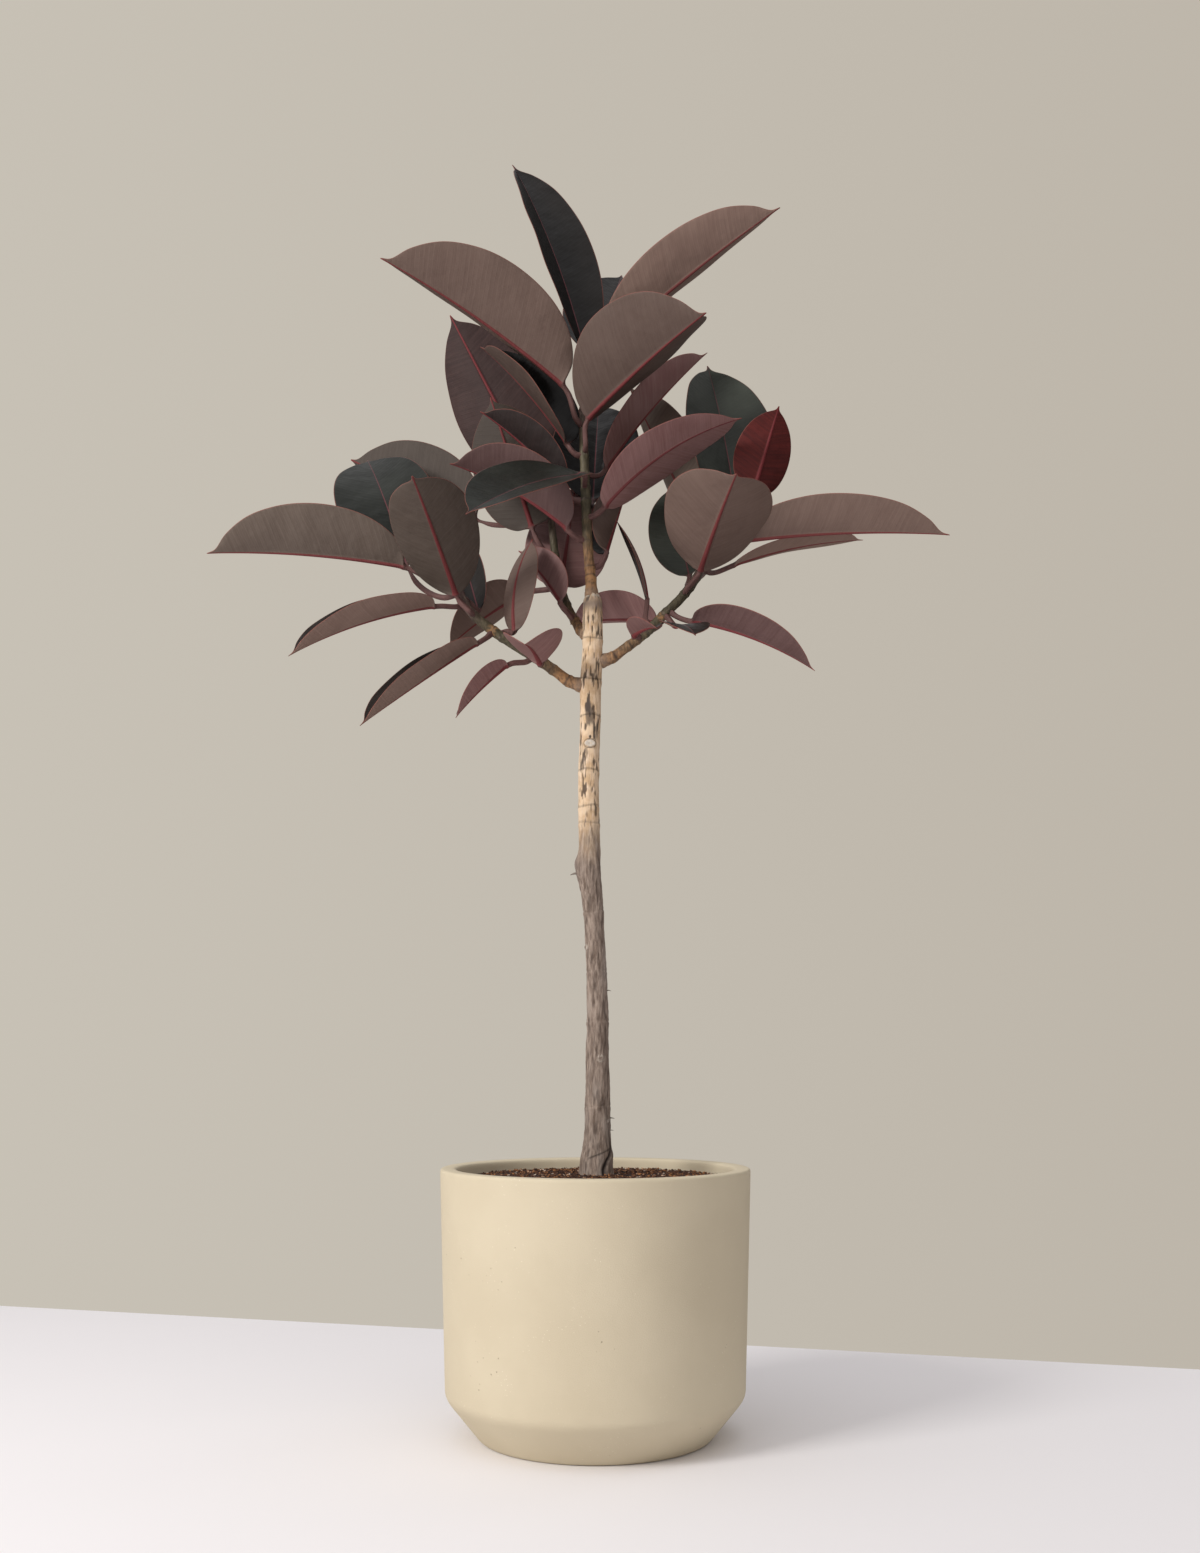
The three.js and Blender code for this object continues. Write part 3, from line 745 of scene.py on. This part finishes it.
    marks = {"crack": np.clip(cracks, 0, 1), "pale": pale, "dark": np.clip(dark, 0, 1), "grey": grey}
    marks = {name: per_point(values) for name, values in marks.items()}
    for height, bearing, length in STUBS:
        place = stem.nearest(np.array([0, 0, height]))
        centre, wide = stem.centres[place], stem.radii[place]
        twig, twig_faces = dead_twig(centre, wide, bearing, length * MM, len(points))
        points = np.concatenate([points, twig])
        faces += twig_faces
        for name, value in STUB_MARKS.items():
            marks[name] = np.concatenate([marks[name], np.full(len(twig), value)])
    piece("trunk_bark", points, faces, bark_finish(), marks, ["trunk"])


def dead_twig(centre, radius, bearing, length, first):
    """A short dead twig out of the bark, drooping a little; its points are numbered from first."""
    heading = math.radians(bearing)
    out = np.array([math.cos(heading), math.sin(heading), 0.25])
    side = np.array([-math.sin(heading), math.cos(heading), 0])
    lift = np.cross(out, side)
    turn = headings(TWIG_SIDES)[:, None]
    rings = []
    for share in np.linspace(0, 1, TWIG_RINGS):
        middle = centre + out * (0.8 * radius + (length + 0.2 * radius) * share)
        middle = middle - np.array([0, 0, 0.5 * length * share**2])
        wide = 0.3 * length * (1 - 0.75 * share) * (1 + 0.2 * math.sin(19 * share))
        rings.append(middle + wide * (np.cos(turn) * side + 0.8 * np.sin(turn) * lift))
    points, faces = skin(np.array(rings))
    return points, [[corner + first for corner in face] for face in faces]


BRANCH_SIDES = 40
BRANCH_STEP = 1.5 * MM
BARE_SCARS = (0.08, 0.2, 0.3, 0.42, 0.52)  # shares of the length where leaves have fallen
# Tan patches of a stem: share of its length, size in mm.
TAN_SCARS = {
    "branch_left": [(0.62, 5.0), (0.12, 6.0)],
    "branch_right": [(0.45, 3.0)],
    "leader": [(0.06, 14.0)],
}


def leaf_feet():
    """Where each leaf's petiole meets its stem."""
    return [loft_rings(name)[0].mean(0) for name in LEAF_NODES]


def make_stems(finish):
    """The leader and branches, each with the places along it where its leaves grow."""
    stems = {name: Stem(name, BRANCH_STEP) for name in STEM_NODES}
    held = {name: [] for name in STEM_NODES}
    for foot in leaf_feet():
        gaps = {}
        for name, stem in stems.items():
            place = stem.nearest(foot)
            gaps[name] = np.linalg.norm(stem.centres[place] - foot) - stem.radii[place]
        name = min(gaps, key=gaps.get)
        held[name].append(stems[name].length[stems[name].nearest(foot)])
    for name, stem in stems.items():
        make_stem(name, stem, held[name], finish)


def make_stem(name, stem, nodes, finish):
    """One stem with a ring scar and a swelling where each leaf grows, and between them."""
    run = stem.length[:, None]
    total = stem.length[-1]
    between = [total * share for share in BARE_SCARS if total * share < min(nodes)]
    bare = stem.rings(np.repeat(stem.radii[:, None], BRANCH_SIDES, axis=1), BRANCH_SIDES)
    grain = fractal(bare, (420, 420, 150))
    wrinkles = fractal(bare, (260, 260, 400), 2)
    turn = headings(BRANCH_SIDES)[None]
    relief = 0.28 * grain
    scars = 0 * relief
    for node in nodes + between:
        lean = node + 0.7 * MM * np.sin(turn + 40 * node)
        relief += 0.65 * hump(run - lean + 1.6 * MM, 2.4 * MM) - 0.3 * hump(run - lean, 0.7 * MM)
        scars = np.maximum(scars, hump(run - lean, 0.75 * MM))
    collar = hump(run, 6 * MM)
    relief += collar * (0.9 + 0.8 * wrinkles)
    tan = 0 * relief
    for share, size in TAN_SCARS.get(name, []):
        tan = np.maximum(tan, hump(run - share * total, size * MM) * smoothstep(-0.35, 0.25, wrinkles))
    scar_rims = 0.5 * hump(np.abs(scars - 0.45), 0.2)
    pale = np.maximum(0.35 * collar, scar_rims * smoothstep(0.0, 0.4, grain))
    radii = stem.radii[:, None] + relief * MM
    close = np.clip((total - run) / stem.radii[-1], 0, 1)
    radii = radii * np.sqrt(1 - (1 - close) ** 2) + 0.02 * MM
    rings = stem.rings(radii, BRANCH_SIDES)
    root = rings[:1] - stem.along[0] * 2.5 * MM
    points, faces = skin(np.concatenate([root, rings]))

    def per_point(values):
        full = np.broadcast_to(values, radii.shape)
        return np.concatenate([full[:1].ravel(), full.ravel(), full[0, :1], full[-1, :1]])

    marks = {"run": run / total, "dark": 0.75 * scars, "pale": pale, "tan": tan}
    marks = {mark: per_point(values) for mark, values in marks.items()}
    piece(name + "_wood", points, faces, finish, marks, [name])


# ---- Leaves ----

PETIOLE_RINGS = 5
WIDEST_RING = 9
BLADE_THICKNESS = 1 * MM  # of the CAD blade
LENGTH_PARTS = [4, 4, 4, 4, 6, 6, 7, 8, 8, 8, 8, 7, 6, 5]
FOOT = sum(LENGTH_PARTS[: PETIOLE_RINGS - 1])
RIB_COLUMNS = np.array([0, 0.35, 0.65, 0.88, 1])
BLADE_COLUMNS = np.array([0.05, 0.13, 0.23, 0.34, 0.46, 0.58, 0.70, 0.81, 0.90, 0.96, 0.99, 1])
HALF_THICKNESS = 0.36 * MM
PETIOLE_BLEND = 9  # rings over which the round stalk spreads into the blade
RIB_WIDTH = 2.6  # half the midrib's width at the foot of the blade, in mm
RIB_TAPER = 2.0  # what it loses up to the tip
WAVE_HEIGHT = 0.022  # of the margin's waves, against the blade's half width


def in_leaf_order(rings):
    """Turns the rings so that each starts at an edge and passes over the upper side first."""
    widest = rings[WIDEST_RING]
    gaps = [np.linalg.norm(widest[i] - widest[i + 4]) for i in range(4)]
    edge = int(np.argmax(gaps))
    turned_rings = np.roll(rings, -edge, axis=1)
    widest = turned_rings[WIDEST_RING]
    top = widest[2] - widest[6]
    folded_to = (widest[0] + widest[4]) / 2 - widest[2]
    return turned_rings if top @ folded_to > 0 else np.roll(turned_rings, 4, axis=1)


def leaf_guides(rings):
    """Middle surface of a leaf at its CAD rings: edge, half and midrib points, and the rib's depth."""
    up = unit(rings[:, 2] - rings[:, 6])
    depth = np.linalg.norm(rings[:, 2] - rings[:, 6], axis=1)
    midrib = rings[:, 2] - up * (BLADE_THICKNESS / 2)
    midrib[:PETIOLE_RINGS] = (rings[:PETIOLE_RINGS, 2] + rings[:PETIOLE_RINGS, 6]) / 2
    halves = [(rings[:, 1] + rings[:, 7]) / 2, (rings[:, 3] + rings[:, 5]) / 2]
    guides = np.stack([rings[:, 0], halves[0], midrib, halves[1], rings[:, 4]], axis=1)
    return guides, depth


def make_leaf(node, finishes):
    """A petiole and blade through the CAD leaf's rings, with a fine midrib, thin margins and waves."""
    rings = in_leaf_order(loft_rings(node))
    guides, depth = leaf_guides(rings)
    draw = random.Random(node)
    fine = spline(guides, LENGTH_PARTS)
    depth = spline(np.repeat(depth[:, None], 3, axis=1), LENGTH_PARTS)[:, 0]
    plus, plus_half, midrib, minus_half, minus = fine.transpose(1, 0, 2)
    count = len(fine)
    ring = np.arange(count)
    stalk = 1 - smoothstep(0, PETIOLE_BLEND, ring - FOOT)[:, None]
    along = run_along(midrib)
    along = (along - along[FOOT])[:, None]
    share = np.clip(along / along[-1, 0], 0, 1)

    rib_width = (RIB_WIDTH - RIB_TAPER * share**0.7) * MM
    sides, columns, lateral, margins = [], [], [], []
    for edge, half in ((plus, plus_half), (minus, minus_half)):
        width = np.linalg.norm(edge - half, axis=1) + np.linalg.norm(half - midrib, axis=1)
        width = width[:, None]
        inner = np.minimum(0.6, rib_width / width)
        q = np.concatenate([inner * RIB_COLUMNS, inner + (1 - inner) * BLADE_COLUMNS], axis=1)
        w = q[..., None]
        surface = midrib[:, None] * (1 - w) * (1 - 2 * w) + half[:, None] * 4 * w * (1 - w)
        surface = surface + edge[:, None] * w * (2 * w - 1)
        sides.append(surface)
        columns.append(q)
        lateral.append(q * width)
        margins.append((1 - q) * width)

    def joined(pair, sign=1):
        """Columns from the first edge over the midrib to the second."""
        return np.concatenate([pair[0][:, :0:-1], sign * pair[1]], axis=1)

    middle = joined(sides)
    x = joined(lateral, -1)
    q = joined(columns)
    margin = joined(margins)
    rise = unit(np.cross(np.gradient(middle, axis=1), np.gradient(middle, axis=0)))
    wave = draw.uniform(0.55, 1.0) * WAVE_HEIGHT * np.abs(x).max(1, keepdims=True) * q**2
    phases = np.where(x > 0, draw.uniform(0, 6), draw.uniform(0, 6))
    wave = wave * np.sin(along / (draw.uniform(11, 16) * MM) + phases) * (1 - stalk)
    middle = middle + rise * wave[..., None]
    rise = unit(np.cross(np.gradient(middle, axis=1), np.gradient(middle, axis=0)))

    edge_round = np.sqrt(np.clip(margin / (0.5 * MM), 0, 1))
    round_stalk = np.sqrt(np.clip(1 - q**2, 0, 1)) * depth[FOOT - 1] / 2
    pulvinus = 1 + 0.22 * hump(along - along[0], 5 * MM)
    rib_share = np.abs(x) / rib_width
    rib = np.clip(1 - rib_share**2, 0, 1) ** 0.7 * np.maximum(depth[:, None] - BLADE_THICKNESS, 0.1 * MM)
    groove = 0.22 * MM * hump(x, 1.0 * MM)
    above = stalk * round_stalk * pulvinus + (1 - stalk) * (HALF_THICKNESS * edge_round - groove)
    below = stalk * round_stalk * pulvinus + (1 - stalk) * (HALF_THICKNESS * edge_round + rib)
    upper = middle + rise * above[..., None]
    under = middle - rise * below[..., None]
    inside = slice(-2, 0, -1)
    loops = np.concatenate([upper, under[:, inside]], axis=1)
    root = loops[:1] - unit(midrib[1] - midrib[0]) * 1.5 * MM
    points, faces = skin(np.concatenate([root, loops]))

    def per_point(values, back=None):
        full = np.broadcast_to(values, q.shape)
        other = full if back is None else np.broadcast_to(back, q.shape)
        full = np.concatenate([full, other[:, inside]], axis=1)
        return np.concatenate([full[:1].ravel(), full.ravel(), full[0, :1], full[-1, :1]])

    facing = np.where(margin > 0, 1.0, 0.0)
    marks = {
        "across": per_point(x / MM),
        "along": per_point(along / MM),
        "margin": per_point(margin / MM + 5 * stalk),
        "rib": per_point(rib_share),
        "stalk": per_point(stalk * smoothstep(FOOT + 6, FOOT - 1, ring)[:, None]),
        "upper": per_point(facing * (1 - stalk), -facing),
    }
    name = node.removeprefix("leaf_")
    # The lightness holds painted light and shade as well as the leaf's own shade.
    tone, lightness_and_painted_light = LEAF_LOOKS[name]
    marks["lightness_and_painted_light"] = np.full(len(points), lightness_and_painted_light)
    piece("foliage_" + name, points, faces, finishes[tone], marks, [node])


# ---- Stage, light and camera ----

TABLE_REACH = 4.0  # to the left, to the right and towards the viewer
TABLE_FAR = 0.51  # behind the plant, in the middle
TABLE_SLANT = -0.2853  # of the far edge
LAMP_AIM = Vector((0, 0, 0.45))
LAMP_DISTANCE = 2.6
LAMP_SIZE = 0.8
# The wall's colour at its left and at its right; the right is darker, which is painted shade.
WALL_LEFT, WALL_RIGHT = (0.585, 0.545, 0.475), (0.500, 0.455, 0.390)
SKY_LOW, SKY_HIGH = (0.14, 0.105, 0.075), (0.88, 0.87, 0.88)


def make_stage():
    """A pale table top whose far edge runs a little across the view."""
    f = Finish("pale_table", Roughness=0.7, Specular_IOR_Level=0.2)
    mottle = f.noise(f.place(), 3.0, 2.0)
    finish = f.shade(Base_Color=f.mix(mottle, (0.835, 0.815, 0.83), (0.85, 0.83, 0.845)))
    far_left = TABLE_FAR - TABLE_SLANT * TABLE_REACH
    far_right = TABLE_FAR + TABLE_SLANT * TABLE_REACH
    corners = [
        (-TABLE_REACH, -TABLE_REACH, 0),
        (TABLE_REACH, -TABLE_REACH, 0),
        (TABLE_REACH, far_right, 0),
        (-TABLE_REACH, far_left, 0),
    ]
    mesh = bpy.data.meshes.new("table_top")
    mesh.from_pydata(corners, [], [[0, 1, 2, 3]])
    mesh.materials.append(finish)
    table = bpy.data.objects.new("table_top", mesh)
    bpy.context.scene.collection.objects.link(table)


def make_lamp(name, bearing, lift, power, colour):
    """A soft square light on a heading from the front (positive to the left), aimed at the plant."""
    a, e = math.radians(bearing), math.radians(lift)
    out = Vector((-math.sin(a) * math.cos(e), -math.cos(a) * math.cos(e), math.sin(e)))
    lamp = bpy.data.lights.new(name, "AREA")
    lamp.size = LAMP_SIZE
    lamp.energy = power
    lamp.color = colour
    made = bpy.data.objects.new(name, lamp)
    made.location = LAMP_AIM + out * LAMP_DISTANCE
    made.rotation_euler = out.to_track_quat("Z", "Y").to_euler()
    bpy.context.scene.collection.objects.link(made)


def make_world():
    """A pale wall as the camera sees it, painted darker towards the right as painted shade, and as light a
    sky that is strongest in front and on the left.
    """
    world = bpy.data.worlds.new("studio")
    bpy.context.scene.world = world
    world.use_nodes = True
    tree = world.node_tree
    tree.nodes.clear()

    def feed(socket, value):
        if isinstance(value, bpy.types.NodeSocket):
            tree.links.new(value, socket)
        else:
            socket.default_value = value

    def add(kind, **inputs):
        node = tree.nodes.new("ShaderNode" + kind)
        for socket, value in inputs.items():
            feed(node.inputs[socket.replace("_", " ")], value)
        return node

    def remap(value, **limits):
        return add("MapRange", Value=value, **limits).outputs[0]

    def ramp(value, stops):
        node = add("ValToRGB", Fac=value)
        points = node.color_ramp.elements
        for element, (position, colour) in zip(points, stops):
            element.position = position
            element.color = (*colour, 1)
        return node.outputs["Color"]

    x, y, z = add("SeparateXYZ", Vector=add("TexCoord").outputs["Generated"]).outputs
    # Painted shade: the wall darkens from left to right.
    wall = ramp(remap(x, From_Min=-0.5, From_Max=0.5), [(0.0, WALL_LEFT), (1.0, WALL_RIGHT)])
    sky = ramp(remap(z, From_Min=-0.1, From_Max=1.0), [(0.0, SKY_LOW), (1.0, SKY_HIGH)])
    frontal = remap(y, From_Min=-1.0, From_Max=0.5, To_Min=1.7, To_Max=0.9)
    leftward = remap(x, To_Min=1.0, To_Max=0.42)
    strength = add("Math")
    strength.operation = "MULTIPLY"
    feed(strength.inputs[0], frontal)
    feed(strength.inputs[1], leftward)
    seen = add("Background", Color=wall, Strength=1.0).outputs[0]
    felt = add("Background", Color=sky, Strength=strength.outputs[0]).outputs[0]
    both = add("MixShader")
    feed(both.inputs[0], add("LightPath").outputs["Is Camera Ray"])
    feed(both.inputs[1], felt)
    feed(both.inputs[2], seen)
    add("OutputWorld", Surface=both.outputs[0])


def make_camera():
    """Eye level just above the pot's rim, tilted up 5 degrees, its frame raised to hold the crown."""
    lens = bpy.data.cameras.new("camera")
    lens.lens = 34.77
    lens.sensor_width = 36
    lens.shift_y = 0.0964
    camera = bpy.data.objects.new("camera", lens)
    camera.location = (0.0045, -1.497, 0.3659)
    camera.rotation_euler = (math.radians(95), 0, 0)
    bpy.context.scene.collection.objects.link(camera)
    bpy.context.scene.camera = camera


# ---- The plant ----

make_camera()
make_lamp("key", bearing=51, lift=25, power=43, colour=(1.0, 0.975, 0.94))
make_lamp("rim", bearing=-125, lift=20, power=4, colour=(1.0, 0.97, 0.93))
make_world()
make_stage()
bpy.context.scene.view_settings.view_transform = "Standard"

make_pot()
make_soil()
make_trunk()
make_stems(greenwood_finish())
leaf_finishes = {tone: leaf_finish(tone) for tone in LEAF_TONES}
for leaf_node in LEAF_NODES:
    make_leaf(leaf_node, leaf_finishes)
